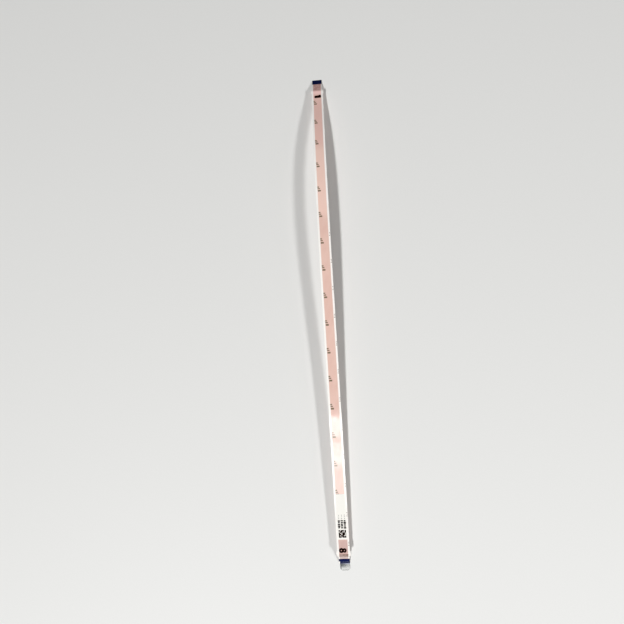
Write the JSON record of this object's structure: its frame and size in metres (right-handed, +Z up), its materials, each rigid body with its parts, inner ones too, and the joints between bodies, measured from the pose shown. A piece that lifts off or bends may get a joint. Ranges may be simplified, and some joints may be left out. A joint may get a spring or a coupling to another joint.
{
  "type": "flat flex cable",
  "caption": "White flat flex cable with copper-pink flat wires, navy stiffened plug-in ends, ears at the creases, a label and a clear tab, lying in a long arch.",
  "frame": {"origin": "middle of the cable's outline, on the surface that it lies on", "axes": "+Y along the cable to the far end, +X across it to the right as seen from the near end, +Z up from the surface, with the printed side on top"},
  "size_m": [0.0116, 0.4454, 0.0304],
  "materials": {
    "film": "glossy translucent white polyester",
    "wire": "tinned copper, satin",
    "stiffener": "semi-gloss navy polyester",
    "clear_film": "clear polyester film",
    "label_paper": "matte off-white paper",
    "black_ink": "black print",
    "grey_ink": "grey-brown print"
  },
  "bodies": {
    "root": {"top_film": "film", "bottom_film": "film", "wire_1": "wire", "wire_2": "wire", "wire_3": "wire", "wire_4": "wire", "wire_5": "wire", "wire_6": "wire", "wire_7": "wire", "wire_8": "wire", "far_stiffener": "stiffener", "near_stiffener": "stiffener", "clear_tab": "clear_film", "label": "label_paper", "label_rows": "black_ink", "label_block": "black_ink", "number_one": "black_ink", "number_eight": "black_ink", "repeat_marks": "grey_ink", "edge_marks": "grey_ink"}
  },
  "joints": []
}
